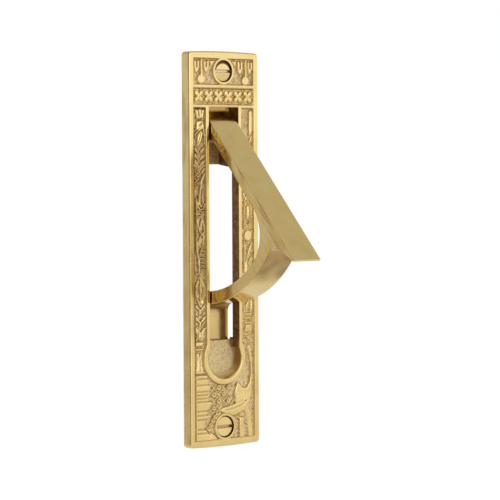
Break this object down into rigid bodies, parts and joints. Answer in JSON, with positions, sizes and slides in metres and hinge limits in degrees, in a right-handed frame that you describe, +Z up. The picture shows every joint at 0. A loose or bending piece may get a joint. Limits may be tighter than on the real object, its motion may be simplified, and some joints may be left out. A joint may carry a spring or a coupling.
{
  "type": "pocket door pull",
  "caption": "Cast brass edge pull for a sliding pocket door: a slotted face plate with a swing-out lever, finger lip and finger notch.",
  "frame": {"origin": "centre of the face plate's back face, which lies against the bottom of its recess in the door's edge", "axes": "+X across the door's edge, -Y out of the plate's front, +Z up along the plate; the lever stands open against its stop"},
  "size_m": [0.0286, 0.0599, 0.127],
  "materials": {
    "plate_brass": "cast, sunk ground left sandy, high faces polished",
    "lever_brass": "cast, polished all over",
    "pin_brass": "drawn rod, ends filed flush with the cheeks",
    "screw_brass": "turned, lightly dulled"
  },
  "bodies": {
    "plate": {"faceplate": "plate_brass", "pivot_pin": "pin_brass", "screw_upper": "screw_brass", "screw_lower": "screw_brass"},
    "lever": {"lever": "lever_brass"}
  },
  "joints": [
    {"name": "lever_swing", "type": "hinge", "parent": "plate", "child": "lever", "pos_m": [0, 0.0017, 0.03875], "axis": [-1, 0, 0], "range_deg": [-43.2, 0]}
  ]
}
